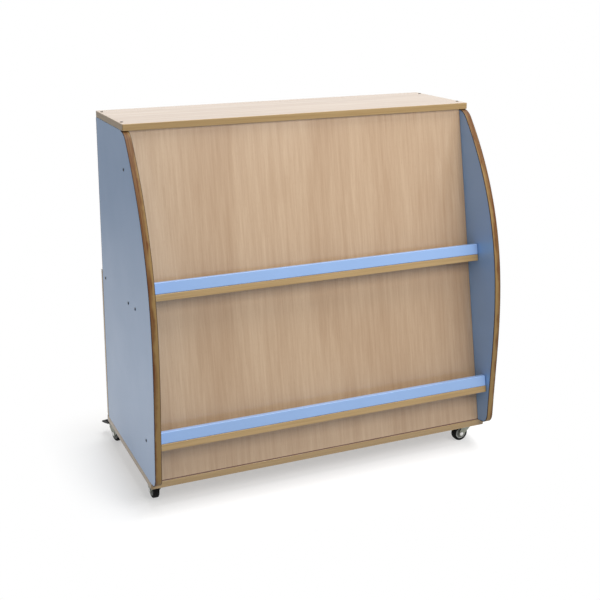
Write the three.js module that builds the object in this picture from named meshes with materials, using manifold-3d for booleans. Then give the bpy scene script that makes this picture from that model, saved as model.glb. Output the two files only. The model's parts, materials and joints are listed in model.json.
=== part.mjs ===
// Mobile picture book display: a leaning panel with two lipped ledges between two bellied sides,
// a rear shelf over a cupboard with two pivoted doors, and four swivel casters, two with brakes.
// Millimetres, +Z up, the display faces -Y and stands on the floor at Z = 0.
import * as THREE from "three";
import { mergeVertices } from "three/addons/utils/BufferGeometryUtils.js";
import Module from "manifold-3d";

const wasm = await Module();
wasm.setup();

// Carcass
const WIDTH = 900; // over the outer faces of the sides
const BODY_HEIGHT = 824; // underside of the base to the top face
const BOARD = 16; // laminate board
const TOP_DEPTH = 250; // top board, front to rear
const BASE_FRONT = 389; // front edge of the base, ahead of the sides' rear edges
const ARRIS = 1; // softened edge of a board
const BOARD_CORNER = 3; // plan radius at a board's corners
const SEAT = 0.1; // glue line between flat faces that meet
const FIT = 0.3; // gap round what is let in, or meets at a slant

// Sides
const SIDE_FOOT = 426; // front of a side just above its bottom corner, ahead of its rear edge
const SIDE_CORNER = 30; // rounding of the bottom corner
const SIDE_HEAD_REACH = 6; // belly carried straight on to the head's level, ahead of the top board
const SIDE_SHOULDER = 23; // rounding of the head, along each leg of its corner
const FOOT_LEAN = 1; // degrees by which the front edge leans out at its foot
const FOOT_PULL = 225; // how strongly the belly keeps that direction
const HEAD_LEAN = 38; // degrees by which the front edge leans back below its shoulder
const HEAD_PULL = 345; // how strongly the belly keeps that direction
const EDGE_BAND = 2; // edge band of the sides

// Leaning panel and its ledges
const PANEL_FOOT_SETBACK = 2; // face of the panel at its foot, behind the base's front edge
const PANEL_HEAD_SETBACK = 11; // face of the panel at its head, behind the top's front edge
const LEDGE_DEPTH = 47; // out from the panel's face
const LOWER_LEDGE_RISE = 82; // up the panel's face, foot of the panel to the ledge's underside
const LEDGE_PITCH = 338; // up the panel's face, from one ledge to the next
const LIP_HEIGHT = 26; // above the ledge
const END_GAP = 0.5; // ends of a piece fitted between the sides

// Rear shelf and doors
const SHELF_TOP = 414; // top of the shelf above the underside of the base
const DOOR_GAP = 1.5; // door to the rear edges that it covers
const DOOR_END_INSET = 1; // outer end of a door, inside the side's outer face
const DOOR_MEETING_GAP = 3; // between the two doors
const DOOR_HEAD_GAP = 1; // head of a door below the shelf's top face
const PIVOT_INSET = 5.5; // pivot from the door's outer end
const PIVOT_DEPTH = 10; // pivot from the door's inner face
const PIVOT_RADIUS = 2.5;
const PIVOT_REACH = 12; // pin inside the door
const PIVOT_SPIGOT = 9; // lower pin inside the base
const PIVOT_FLANGE_RADIUS = 5;
const PIVOT_FLANGE = 1.2;
const PIVOT_PLATE = 2; // upper pivot plate, thickness
const PIVOT_PLATE_LEG = 24; // its width on the shelf
const PIVOT_PLATE_REACH = 34; // its length on the shelf
const PIVOT_PLATE_MARGIN = 6; // round the pin
const KNOB_INSET = 42; // knob from the door's meeting end
const KNOB_DROP = 90; // knob below the door's head
const KNOB_RADIUS = 15;
const KNOB_NECK = 7;
const KNOB_LENGTH = 24;
const CATCH_INSET = 78; // catch and strike from the door's meeting end
const CATCH_HOUSING = 30; // width of the magnet's housing
const CATCH_DEPTH = 14;
const CATCH_HEIGHT = 12;
const CATCH_EAR = 6; // radius of a fixing ear
const CATCH_EAR_THICKNESS = 3;
const STRIKE = 1.2; // strike plate, thickness
const STRIKE_OVER = 4; // wider than the housing on each side

// Casters
const CASTER_SIDE_INSET = 25; // king pin from the base's end
const CASTER_FRONT_INSET = 44; // king pin from the base's front edge
const CASTER_REAR_INSET = 36; // king pin from the base's rear edge
const WHEEL_RADIUS = 20.5;
const WHEEL_WIDTH = 17;
const TRAIL = 19; // axle behind the king pin
const WHEEL_CLEARANCE = 2.7; // tread to the fork's crown
const SIDE_CLEARANCE = 0.6; // wheel to the fork's legs
const SHEET = 2; // pressed steel of the fork
const RUN_GAP = 0.4; // between parts that turn on each other
const HUB_RADIUS = 14;
const TYRE_FLANK = 0.9; // tyre narrower than the wheel at each side
const TREAD_ROUND = 2.2; // rounding of the tread's shoulders
const HUB_BOSS = 6; // radius of the hub's boss
const HUB_DISH = 3; // hollow of the hub's face
const AXLE_RADIUS = 2.8;
const AXLE_HEAD_RADIUS = 5.2;
const AXLE_HEAD = 2.6;
const EYE_RADIUS = 7; // fork's end round the axle
const CROWN_FRONT = 13; // crown ahead of the king pin
const CROWN_REAR = 15; // crown behind the king pin
const CROWN_CORNER = 2.5;
const CUP_RADIUS = 17.6; // cup of the fork round the race
const CUP_RISE = 3.2; // wall of the cup
const RACE_DEPTH = 5.4; // race under the plate
const KING_PIN_RADIUS = 4;
const KING_HEAD_RADIUS = 6;
const KING_HEAD = 1.6;
const PLATE_SIDE = 42;
const PLATE_THICKNESS = 2.5;
const PLATE_CORNER = 5;
const PLATE_HOLE_PITCH = 31;
const PLATE_HOLE_RADIUS = 2.6;

// Brakes of the two left casters
const BRAKE_PIN_ANGLE = 39; // degrees above the axle's level, seen from the axle
const BRAKE_PIN_OUT = 6; // pin beyond the tread
const BRAKE_PIN_RADIUS = 2;
const BRAKE_PIN_HEAD_RADIUS = 3.2;
const BRAKE_PIN_HEAD = 1;
const EAR_RADIUS = 5; // fork round the brake pin
const PEDAL_BOSS = 4; // pedal round the brake pin
const SHOE_OFFSET = 58; // degrees from the line to the axle round to the shoe
const SHOE_REACH = 6.2; // shoe from the brake pin
const SHOE_RADIUS = 1.6;
const PEDAL_EDGE = 2.2; // half the pedal's thickness
const PEDAL_HEEL = 15; // start of the foot pad, behind the pin
const PEDAL_HEEL_RISE = 1.5; // above the pin
const PEDAL_TOE = 44; // tip of the foot pad, behind the pin
const PEDAL_TOE_DROP = 4; // below the pin
const PEDAL_PAD_WIDTH = 26;
const PEDAL_PAD_GAP = 3.4; // foot pad behind the fork's ears

// How the casters stand at rest: degrees by which each has swivelled, wheel to the rear at 0
const CASTERS = [
  { corner: "front_left", side: -1, front: true, heading: 0, braked: true },
  { corner: "rear_left", side: -1, front: false, heading: 12, braked: true },
  { corner: "front_right", side: 1, front: true, heading: 90, braked: false },
  { corner: "rear_right", side: 1, front: false, heading: 70, braked: false },
];

// Facets
const WHEEL_STEPS = 32;
const ROUND_STEPS = 20;
const PIN_STEPS = 12;
const BELLY_STEPS = 26;
const CORNER_STEPS = 6;
const ARC_STEPS = 4;
const SMALL_ARC_STEPS = 1;

// Heights and places worked out from the sizes above
const crownUnder = 2 * WHEEL_RADIUS + WHEEL_CLEARANCE;
const crownTop = crownUnder + SHEET;
const raceUnder = crownTop + RUN_GAP;
const plateUnder = raceUnder + RACE_DEPTH;
const baseUnder = plateUnder + PLATE_THICKNESS + SEAT;
const baseTop = baseUnder + BOARD;
const topUnder = baseUnder + BODY_HEIGHT - BOARD;
const sideFoot = baseTop + SEAT;
const sideHead = topUnder - SEAT;
const innerFace = WIDTH / 2 - BOARD;
const doorInner = DOOR_GAP;
const doorOuter = DOOR_GAP + BOARD;
const shelfTop = baseUnder + SHELF_TOP;
const doorFoot = baseTop + PIVOT_FLANGE + FIT;
const doorHead = shelfTop - DOOR_HEAD_GAP;
const pivotX = WIDTH / 2 - DOOR_END_INSET - PIVOT_INSET;
const pivotY = doorInner + PIVOT_DEPTH;
const panelFoot = BASE_FRONT - PANEL_FOOT_SETBACK;
const panelHead = TOP_DEPTH - PANEL_HEAD_SETBACK;
const panelLean = Math.atan2(panelFoot - panelHead, sideHead - sideFoot);
const legInner = WHEEL_WIDTH / 2 + SIDE_CLEARANCE;
const legOuter = legInner + SHEET;
const brakePin = new THREE.Vector2(
  TRAIL + (WHEEL_RADIUS + BRAKE_PIN_OUT) * Math.cos(radians(BRAKE_PIN_ANGLE)),
  WHEEL_RADIUS + (WHEEL_RADIUS + BRAKE_PIN_OUT) * Math.sin(radians(BRAKE_PIN_ANGLE)),
);

// Finishes, a new material for every piece
const beech = () => finish(0xd8bfa2, 0.45, 0);
const edging = () => finish(0xbf9d66, 0.5, 0);
const blue = () => finish(0x8db0de, 0.4, 0);
const zinc = () => finish(0xa3a79f, 0.35, 0.9);
const steel = () => finish(0xb4b5b4, 0.3, 0.9);
const grey = () => finish(0x6a6d68, 0.5, 0);
const black = () => finish(0x1d1d1c, 0.6, 0);
const rubber = () => finish(0x171716, 0.85, 0);

function finish(color, roughness, metalness) {
  return new THREE.MeshStandardMaterial({ color, roughness, metalness });
}

function radians(degrees) {
  return THREE.MathUtils.degToRad(degrees);
}

function piece(name, geometry, material) {
  const mesh = new THREE.Mesh(geometry, material);
  mesh.name = name;
  return mesh;
}

function placed(mesh, x, y, z) {
  mesh.position.set(x, y, z);
  return mesh;
}

// Swaps of the axes that keep every number exact: X to Y, Y to Z and Z to X, or the way back.
const X_AXIS = new THREE.Vector3(1, 0, 0);
const Y_AXIS = new THREE.Vector3(0, 1, 0);
const Z_AXIS = new THREE.Vector3(0, 0, 1);
const AXES_ON = new THREE.Matrix4().makeBasis(Y_AXIS, Z_AXIS, X_AXIS);
const AXES_BACK = new THREE.Matrix4().makeBasis(Z_AXIS, X_AXIS, Y_AXIS);

// A plain extrusion of an outline, centred on its own middle.
function extruded(shape, length) {
  const geometry = new THREE.ExtrudeGeometry(shape, {
    depth: length,
    bevelEnabled: false,
    curveSegments: ARC_STEPS,
  });
  return geometry.translate(0, 0, -length / 2);
}

// An outline drawn in the YZ plane, run along X.
function profileAlongX(shape, length) {
  return extruded(shape, length).applyMatrix4(AXES_ON);
}

// A profile of [radius, height] pairs, drawn up its outside, turned about the Y axis.
function turned(profile, steps) {
  const points = profile.map(([radius, height]) => new THREE.Vector2(radius, height));
  return new THREE.LatheGeometry(points, steps);
}

function turnedAboutX(profile, steps) {
  return turned(profile, steps).applyMatrix4(AXES_BACK);
}

function turnedAboutZ(profile, steps) {
  return turned(profile, steps).applyMatrix4(AXES_ON);
}

function rod(radius, length) {
  const half = length / 2;
  return [
    [0, -half],
    [radius, -half],
    [radius, half],
    [0, half],
  ];
}

// A pin along X with a head at each end, for two plates whose outer faces are `grip` apart.
function headedPin(radius, headRadius, head, grip) {
  const inner = grip / 2 + FIT;
  const outer = inner + head;
  return turnedAboutX(
    [
      [0, -outer],
      [headRadius, -outer + head / 2],
      [headRadius, -inner],
      [radius, -inner],
      [radius, inner],
      [headRadius, inner],
      [headRadius, outer - head / 2],
      [0, outer],
    ],
    PIN_STEPS,
  );
}

function roundedRectangle(width, depth, corner) {
  const x = width / 2 - corner;
  const y = depth / 2 - corner;
  return belt([
    [x, -y, corner],
    [x, y, corner],
    [-x, y, corner],
    [-x, -y, corner],
  ]);
}

// An outline drawn tight round circles [x, y, radius], which are given counter-clockwise.
function belt(circles) {
  const shape = new THREE.Shape();
  const tangents = circles.map(([x, y, radius], i) => {
    const [nextX, nextY, nextRadius] = circles[(i + 1) % circles.length];
    const distance = Math.hypot(nextX - x, nextY - y);
    const heading = Math.atan2(nextY - y, nextX - x);
    return heading - Math.acos((radius - nextRadius) / distance);
  });
  circles.forEach(([x, y, radius], i) => {
    const arrives = tangents[(i + circles.length - 1) % circles.length];
    shape.absarc(x, y, radius, arrives, tangents[i], false);
  });
  return shape.closePath();
}

// A laminate board lying flat, with softened edges, centred on its own middle.
function board(width, depth, thickness) {
  const geometry = new THREE.ExtrudeGeometry(roundedRectangle(width, depth, BOARD_CORNER), {
    depth: thickness - 2 * ARRIS,
    bevelThickness: ARRIS,
    bevelSize: ARRIS,
    bevelOffset: -ARRIS,
    bevelSegments: 1,
    curveSegments: SMALL_ARC_STEPS,
  });
  return geometry.translate(0, 0, ARRIS - thickness / 2);
}

function solid(geometry) {
  const bare = geometry.clone();
  bare.deleteAttribute("normal");
  bare.deleteAttribute("uv");
  const merged = mergeVertices(bare);
  const vertProperties = merged.getAttribute("position").array;
  const triVerts = new Uint32Array(merged.index.array);
  return new wasm.Manifold(new wasm.Mesh({ numProp: 3, vertProperties, triVerts }));
}

function joined(geometries) {
  return geometries.map(solid).reduce((sum, next) => sum.add(next));
}

function cutFrom(body, geometries) {
  return geometries.map(solid).reduce((left, next) => left.subtract(next), body);
}

function geometryOf(body) {
  const mesh = body.getMesh();
  const geometry = new THREE.BufferGeometry();
  geometry.setAttribute("position", new THREE.BufferAttribute(mesh.vertProperties, 3));
  geometry.setIndex(new THREE.BufferAttribute(mesh.triVerts, 1));
  geometry.computeVertexNormals();
  return geometry;
}

// Front edge of a side, from its foot round the bottom corner, up the belly and over the shoulder.
function frontEdge() {
  const cornerFoot = new THREE.Vector2(-SIDE_FOOT + SIDE_CORNER, sideFoot);
  const lean = SIDE_CORNER * Math.tan(radians(FOOT_LEAN));
  const cornerTip = new THREE.Vector2(-SIDE_FOOT + lean, sideFoot);
  const foot = new THREE.Vector2(-SIDE_FOOT, sideFoot + SIDE_CORNER);
  const upFromFoot = new THREE.Vector2(-Math.sin(radians(FOOT_LEAN)), Math.cos(radians(FOOT_LEAN)));
  const shoulderTip = new THREE.Vector2(-TOP_DEPTH - SIDE_HEAD_REACH, sideHead);
  const downFromHead = new THREE.Vector2(-Math.sin(radians(HEAD_LEAN)), -Math.cos(radians(HEAD_LEAN)));
  const head = shoulderTip.clone().addScaledVector(downFromHead, SIDE_SHOULDER);
  const shoulderEnd = new THREE.Vector2(shoulderTip.x + SIDE_SHOULDER, sideHead);
  const footHandle = foot.clone().addScaledVector(upFromFoot, FOOT_PULL);
  const headHandle = head.clone().addScaledVector(downFromHead, HEAD_PULL);
  const corner = new THREE.QuadraticBezierCurve(cornerFoot, cornerTip, foot);
  const belly = new THREE.CubicBezierCurve(foot, footHandle, headHandle, head);
  const shoulder = new THREE.QuadraticBezierCurve(head, shoulderTip, shoulderEnd);
  return [
    ...corner.getPoints(CORNER_STEPS),
    ...belly.getPoints(BELLY_STEPS).slice(1),
    ...shoulder.getPoints(CORNER_STEPS).slice(1),
  ];
}

// The same edge moved into the board.
function insetEdge(points, inset) {
  return points.map((point, i) => {
    const before = points[Math.max(i - 1, 0)];
    const after = points[Math.min(i + 1, points.length - 1)];
    const along = after.clone().sub(before).normalize();
    return new THREE.Vector2(point.x + along.y * inset, point.y - along.x * inset);
  });
}

function sidePieces(name, x) {
  const edge = frontEdge();
  const bandInner = insetEdge(edge, EDGE_BAND);
  const coreFront = insetEdge(edge, EDGE_BAND + SEAT);
  const rear = -EDGE_BAND - SEAT;
  const footStep = coreFront[0].clone();
  footStep.x += SEAT;
  const headStep = coreFront[coreFront.length - 1].clone();
  headStep.x += SEAT;
  const core = new THREE.Shape([
    new THREE.Vector2(rear, sideFoot),
    new THREE.Vector2(rear, sideHead),
    new THREE.Vector2(headStep.x, sideHead),
    headStep,
    ...coreFront.toReversed(),
    footStep,
    new THREE.Vector2(footStep.x, sideFoot),
  ]);
  const frontBand = new THREE.Shape([...edge, ...bandInner.toReversed()]);
  const bandHeight = sideHead - sideFoot;
  const rearBand = new THREE.BoxGeometry(BOARD, EDGE_BAND, bandHeight);
  return [
    placed(piece(name, profileAlongX(core, BOARD), blue()), x, 0, 0),
    placed(piece(`${name}_front_band`, profileAlongX(frontBand, BOARD), edging()), x, 0, 0),
    placed(
      piece(`${name}_rear_band`, rearBand, edging()),
      x,
      -EDGE_BAND / 2,
      sideFoot + bandHeight / 2,
    ),
  ];
}

function topBoard() {
  const mesh = piece("top_board", board(WIDTH, TOP_DEPTH, BOARD), beech());
  return placed(mesh, 0, -TOP_DEPTH / 2, topUnder + BOARD / 2);
}

// The base reaches under the doors, and takes the spigots of their lower pivots.
function baseBoard() {
  const depth = BASE_FRONT + doorOuter;
  const middle = (doorOuter - BASE_FRONT) / 2;
  const slab = board(WIDTH, depth, BOARD).translate(0, middle, baseUnder + BOARD / 2);
  const bores = [-1, 1].map((side) =>
    turnedAboutZ(rod(PIVOT_RADIUS + FIT, 2 * (PIVOT_SPIGOT + FIT)), PIN_STEPS).translate(
      side * pivotX,
      pivotY,
      baseTop,
    ),
  );
  return piece("base_board", geometryOf(cutFrom(solid(slab), bores)), beech());
}

// The panel is cut level at its head and its foot.
function displayPanel() {
  const through = BOARD / Math.cos(panelLean);
  const outline = new THREE.Shape([
    new THREE.Vector2(-panelFoot, sideFoot),
    new THREE.Vector2(-panelFoot + through, sideFoot),
    new THREE.Vector2(-panelHead + through, sideHead),
    new THREE.Vector2(-panelHead, sideHead),
  ]);
  return piece("display_panel", profileAlongX(outline, 2 * (innerFace - END_GAP)), beech());
}

// Each ledge stands square to the panel, with its lip on its front edge.
function ledgePieces(name, rise) {
  const leaning = new THREE.Group();
  leaning.position.set(0, -panelFoot, sideFoot);
  leaning.rotation.x = -panelLean;
  const length = 2 * (innerFace - END_GAP);
  const ledge = piece(`${name}_ledge`, board(length, LEDGE_DEPTH - FIT, BOARD), beech());
  const lip = piece(`${name}_lip`, board(length, BOARD, LIP_HEIGHT), blue());
  leaning.add(
    placed(ledge, 0, -(LEDGE_DEPTH + FIT) / 2, rise + BOARD / 2),
    placed(lip, 0, -LEDGE_DEPTH + BOARD / 2, rise + BOARD + FIT + LIP_HEIGHT / 2),
  );
  return leaning;
}

function rearShelf() {
  const panelBack = -panelFoot + BOARD / Math.cos(panelLean);
  const front = panelBack + (shelfTop - sideFoot) * Math.tan(panelLean) + FIT;
  const mesh = piece("rear_shelf", board(2 * (innerFace - END_GAP), -front, BOARD), beech());
  return placed(mesh, 0, front / 2, shelfTop - BOARD / 2);
}

// One door with its knob and strike plate. The pivots' bores open at its foot and head.
function doorPieces(name, side) {
  const width = WIDTH / 2 - DOOR_END_INSET - DOOR_MEETING_GAP / 2;
  const meetingEnd = (side * DOOR_MEETING_GAP) / 2;
  const height = doorHead - doorFoot;
  const slab = new THREE.ExtrudeGeometry(roundedRectangle(width, BOARD, ARRIS), {
    depth: height - 2 * ARRIS,
    bevelThickness: ARRIS,
    bevelSize: ARRIS / 2,
    bevelOffset: -ARRIS / 2,
    bevelSegments: 1,
    curveSegments: SMALL_ARC_STEPS,
  }).translate(meetingEnd + (side * width) / 2, doorInner + BOARD / 2, doorFoot + ARRIS);
  const bores = [doorFoot, doorHead].map((level) =>
    turnedAboutZ(rod(PIVOT_RADIUS + FIT, 2 * (PIVOT_REACH + FIT)), PIN_STEPS).translate(
      side * pivotX,
      pivotY,
      level,
    ),
  );
  const knob = turned(
    [
      [0, 0],
      [KNOB_NECK + 2 * ARRIS, 0],
      [KNOB_NECK, 2 * ARRIS],
      [KNOB_NECK, KNOB_LENGTH / 3],
      [KNOB_RADIUS - ARRIS, KNOB_LENGTH / 2],
      [KNOB_RADIUS, KNOB_LENGTH / 2 + 2 * ARRIS],
      [KNOB_RADIUS, KNOB_LENGTH - 3 * ARRIS],
      [KNOB_RADIUS - 2 * ARRIS, KNOB_LENGTH - ARRIS],
      [0, KNOB_LENGTH],
    ],
    ROUND_STEPS,
  );
  const strike = new THREE.BoxGeometry(CATCH_HOUSING + 2 * STRIKE_OVER, STRIKE, CATCH_HEIGHT);
  const catchLevel = shelfTop - BOARD - SEAT - CATCH_HEIGHT / 2;
  const knobX = meetingEnd + side * KNOB_INSET;
  const strikeX = meetingEnd + side * CATCH_INSET;
  const strikeY = doorInner - SEAT - STRIKE / 2;
  return [
    piece(name, geometryOf(cutFrom(solid(slab), bores)), beech()),
    placed(piece(`${name}_knob`, knob, blue()), knobX, doorOuter + SEAT, doorHead - KNOB_DROP),
    placed(piece(`${name}_strike`, strike, steel()), strikeX, strikeY, catchLevel),
  ];
}

// The door turns on a flanged pin in the base and on a pin under a plate on the shelf.
function pivotPieces(name, side) {
  const lower = turnedAboutZ(
    [
      [0, -PIVOT_SPIGOT],
      [PIVOT_RADIUS, -PIVOT_SPIGOT],
      [PIVOT_RADIUS, SEAT],
      [PIVOT_FLANGE_RADIUS, SEAT],
      [PIVOT_FLANGE_RADIUS, PIVOT_FLANGE],
      [PIVOT_RADIUS, PIVOT_FLANGE],
      [PIVOT_RADIUS, PIVOT_FLANGE + FIT + PIVOT_REACH],
      [0, PIVOT_FLANGE + FIT + PIVOT_REACH],
    ],
    PIN_STEPS,
  );
  const legOutside = innerFace - 2 * END_GAP;
  const legInside = legOutside - PIVOT_PLATE_LEG;
  const outside = pivotX + PIVOT_PLATE_MARGIN;
  const rear = pivotY + PIVOT_PLATE_MARGIN;
  const plate = new THREE.Shape([
    new THREE.Vector2(side * legInside, -PIVOT_PLATE_REACH),
    new THREE.Vector2(side * legOutside, -PIVOT_PLATE_REACH),
    new THREE.Vector2(side * legOutside, doorInner),
    new THREE.Vector2(side * outside, doorInner),
    new THREE.Vector2(side * outside, rear),
    new THREE.Vector2(side * legInside, rear),
  ]);
  const plateMiddle = shelfTop + SEAT + PIVOT_PLATE / 2;
  const pinFoot = doorHead - PIVOT_REACH;
  const pin = turnedAboutZ(rod(PIVOT_RADIUS, plateMiddle - pinFoot), PIN_STEPS);
  const upper = joined([
    extruded(plate, PIVOT_PLATE).translate(0, 0, plateMiddle),
    pin.translate(side * pivotX, pivotY, (plateMiddle + pinFoot) / 2),
  ]);
  return [
    placed(piece(`${name}_lower_pivot`, lower, steel()), side * pivotX, pivotY, baseTop),
    piece(`${name}_upper_pivot`, geometryOf(upper), steel()),
  ];
}

// Magnetic catch under the shelf: a housing on a thin foot with a fixing ear at each end.
function doorCatch(name, side) {
  const earX = CATCH_HOUSING / 2 + CATCH_EAR;
  const foot = extruded(
    belt([
      [earX, 0, CATCH_EAR],
      [-earX, 0, CATCH_EAR],
    ]),
    CATCH_EAR_THICKNESS,
  ).translate(0, 0, (CATCH_HEIGHT - CATCH_EAR_THICKNESS) / 2);
  const housing = new THREE.BoxGeometry(CATCH_HOUSING, CATCH_DEPTH, CATCH_HEIGHT);
  const mesh = piece(`${name}_catch`, geometryOf(joined([foot, housing])), grey());
  const x = side * (DOOR_MEETING_GAP / 2 + CATCH_INSET);
  const face = doorInner - SEAT - STRIKE - FIT;
  return placed(mesh, x, face - CATCH_DEPTH / 2, shelfTop - BOARD - SEAT - CATCH_HEIGHT / 2);
}

// Top plate of a caster, with the race pressed under it and the king pin that holds the fork.
function casterPlate(corner, x, y) {
  const plate = roundedRectangle(PLATE_SIDE, PLATE_SIDE, PLATE_CORNER);
  const reach = PLATE_HOLE_PITCH / 2;
  for (const across of [-reach, reach]) {
    for (const along of [-reach, reach]) {
      plate.holes.push(new THREE.Path().absarc(across, along, PLATE_HOLE_RADIUS, 0, 2 * Math.PI));
    }
  }
  const plateMiddle = plateUnder + PLATE_THICKNESS / 2;
  const raceRadius = CUP_RADIUS - SHEET - RUN_GAP;
  const headTop = crownUnder - RUN_GAP;
  const race = turnedAboutZ(
    [
      [0, headTop - KING_HEAD],
      [KING_HEAD_RADIUS, headTop - KING_HEAD],
      [KING_HEAD_RADIUS, headTop],
      [KING_PIN_RADIUS, headTop],
      [KING_PIN_RADIUS, raceUnder],
      [raceRadius - ARRIS, raceUnder],
      [raceRadius, raceUnder + ARRIS],
      [raceRadius, plateMiddle],
      [0, plateMiddle],
    ],
    ROUND_STEPS,
  );
  const flat = extruded(plate, PLATE_THICKNESS).translate(0, 0, plateMiddle);
  const body = joined([flat, race]);
  return placed(piece(`${corner}_caster_plate`, geometryOf(body), zinc()), x, y, 0);
}

// Pressed fork: a cup round the race, a crown and two legs, with ears for the brake where it has one.
function fork(corner, braked) {
  const cup = turnedAboutZ(
    [
      [KING_PIN_RADIUS + RUN_GAP, crownUnder],
      [CUP_RADIUS - SHEET, crownUnder],
      [CUP_RADIUS, crownTop],
      [CUP_RADIUS, crownTop + CUP_RISE],
      [CUP_RADIUS - SHEET, crownTop + CUP_RISE],
      [CUP_RADIUS - SHEET, crownTop],
      [KING_PIN_RADIUS + RUN_GAP, crownTop],
      [KING_PIN_RADIUS + RUN_GAP, crownUnder],
    ],
    ROUND_STEPS,
  );
  const crownOutline = roundedRectangle(2 * legOuter, CROWN_FRONT + CROWN_REAR, CROWN_CORNER);
  const crownMiddle = (CROWN_REAR - CROWN_FRONT) / 2;
  const crown = extruded(crownOutline, SHEET).translate(0, crownMiddle, crownTop - SHEET / 2);
  const shoulder = crownTop - CROWN_CORNER;
  const rearCorner = [CROWN_REAR - CROWN_CORNER, shoulder, CROWN_CORNER];
  const ear = [brakePin.x, brakePin.y, EAR_RADIUS];
  const leg = belt([
    [-CROWN_FRONT + CROWN_CORNER, shoulder, CROWN_CORNER],
    [TRAIL, WHEEL_RADIUS, EYE_RADIUS],
    ...(braked ? [ear, rearCorner] : [rearCorner]),
  ]);
  const legMiddle = legInner + SHEET / 2;
  const legs = [-legMiddle, legMiddle].map((x) => profileAlongX(leg, SHEET).translate(x, 0, 0));
  const kingBore = rod(KING_PIN_RADIUS + RUN_GAP, 3 * crownTop);
  const axleBore = rod(AXLE_RADIUS + FIT, 3 * legOuter);
  const cuts = [
    turnedAboutZ(kingBore, ROUND_STEPS),
    turnedAboutX(axleBore, PIN_STEPS).translate(0, TRAIL, WHEEL_RADIUS),
  ];
  if (braked) {
    const pinBore = rod(BRAKE_PIN_RADIUS + FIT, 3 * legOuter);
    cuts.push(turnedAboutX(pinBore, PIN_STEPS).translate(0, brakePin.x, brakePin.y));
  }
  const body = cutFrom(joined([cup, crown, ...legs]), cuts);
  return piece(`${corner}_fork`, geometryOf(body), zinc());
}

function axle(corner) {
  const geometry = headedPin(AXLE_RADIUS, AXLE_HEAD_RADIUS, AXLE_HEAD, 2 * legOuter);
  return placed(piece(`${corner}_axle`, geometry, steel()), 0, TRAIL, WHEEL_RADIUS);
}

function hub(corner) {
  const half = WHEEL_WIDTH / 2;
  const rim = half - TYRE_FLANK;
  const web = rim - HUB_DISH;
  const bore = AXLE_RADIUS + RUN_GAP;
  const profile = [
    [bore, -half],
    [HUB_BOSS, -half],
    [HUB_BOSS, -web],
    [HUB_RADIUS - SHEET, -web],
    [HUB_RADIUS - SHEET, -rim],
    [HUB_RADIUS, -rim],
    [HUB_RADIUS, rim],
    [HUB_RADIUS - SHEET, rim],
    [HUB_RADIUS - SHEET, web],
    [HUB_BOSS, web],
    [HUB_BOSS, half],
    [bore, half],
    [bore, -half],
  ];
  const mesh = piece(`${corner}_hub`, turnedAboutX(profile, ROUND_STEPS), grey());
  return placed(mesh, 0, TRAIL, WHEEL_RADIUS);
}

function tyre(corner) {
  const half = WHEEL_WIDTH / 2 - TYRE_FLANK;
  const bore = HUB_RADIUS + FIT;
  const shoulder = WHEEL_RADIUS - TREAD_ROUND;
  const bevel = TREAD_ROUND / 3;
  const profile = [
    [bore, -half],
    [shoulder, -half],
    [WHEEL_RADIUS - bevel, -half + bevel],
    [WHEEL_RADIUS, -half + TREAD_ROUND],
    [WHEEL_RADIUS, half - TREAD_ROUND],
    [WHEEL_RADIUS - bevel, half - bevel],
    [shoulder, half],
    [bore, half],
    [bore, -half],
  ];
  const mesh = piece(`${corner}_tyre`, turnedAboutX(profile, WHEEL_STEPS), rubber());
  return placed(mesh, 0, TRAIL, WHEEL_RADIUS);
}

// Brake pedal: a boss on the pin with a shoe that faces the tread, an arm and a wide foot pad.
function brakePieces(corner) {
  const toWheel = radians(BRAKE_PIN_ANGLE + 180);
  const shoeAngle = toWheel + radians(SHOE_OFFSET);
  const boss = [0, 0, PEDAL_BOSS];
  const shoe = [SHOE_REACH * Math.cos(shoeAngle), SHOE_REACH * Math.sin(shoeAngle), SHOE_RADIUS];
  const heel = [PEDAL_HEEL, PEDAL_HEEL_RISE, PEDAL_EDGE];
  const toe = [PEDAL_TOE - PEDAL_EDGE, -PEDAL_TOE_DROP, PEDAL_EDGE];
  const padStart = EAR_RADIUS + PEDAL_PAD_GAP + PEDAL_EDGE;
  const armWidth = 2 * (legInner - 2 * RUN_GAP);
  const slope = (PEDAL_HEEL_RISE + PEDAL_TOE_DROP) / (toe[0] - PEDAL_HEEL);
  const padHeel = [padStart, PEDAL_HEEL_RISE + slope * (PEDAL_HEEL - padStart), PEDAL_EDGE];
  const lever = joined([
    profileAlongX(belt([shoe, boss]), armWidth),
    profileAlongX(belt([boss, heel]), armWidth),
    profileAlongX(belt([padHeel, toe]), PEDAL_PAD_WIDTH),
  ]);
  const bore = turnedAboutX(rod(BRAKE_PIN_RADIUS + FIT, 2 * armWidth), PIN_STEPS);
  const pedal = piece(`${corner}_brake_pedal`, geometryOf(cutFrom(lever, [bore])), black());
  const pinGeometry = headedPin(
    BRAKE_PIN_RADIUS,
    BRAKE_PIN_HEAD_RADIUS,
    BRAKE_PIN_HEAD,
    2 * legOuter,
  );
  const pin = piece(`${corner}_brake_pin`, pinGeometry, steel());
  return [pedal, pin].map((mesh) => placed(mesh, 0, brakePin.x, brakePin.y));
}

// A caster's plate stays square to the base, and the rest stands as it last swivelled.
function casterPieces({ corner, side, front, heading, braked }) {
  const x = side * (WIDTH / 2 - CASTER_SIDE_INSET);
  const y = front ? -BASE_FRONT + CASTER_FRONT_INSET : doorOuter - CASTER_REAR_INSET;
  const swivel = new THREE.Group();
  swivel.position.set(x, y, 0);
  swivel.rotation.z = radians(heading);
  swivel.add(fork(corner, braked), axle(corner), hub(corner), tyre(corner));
  if (braked) {
    swivel.add(...brakePieces(corner));
  }
  return [casterPlate(corner, x, y), swivel];
}

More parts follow.
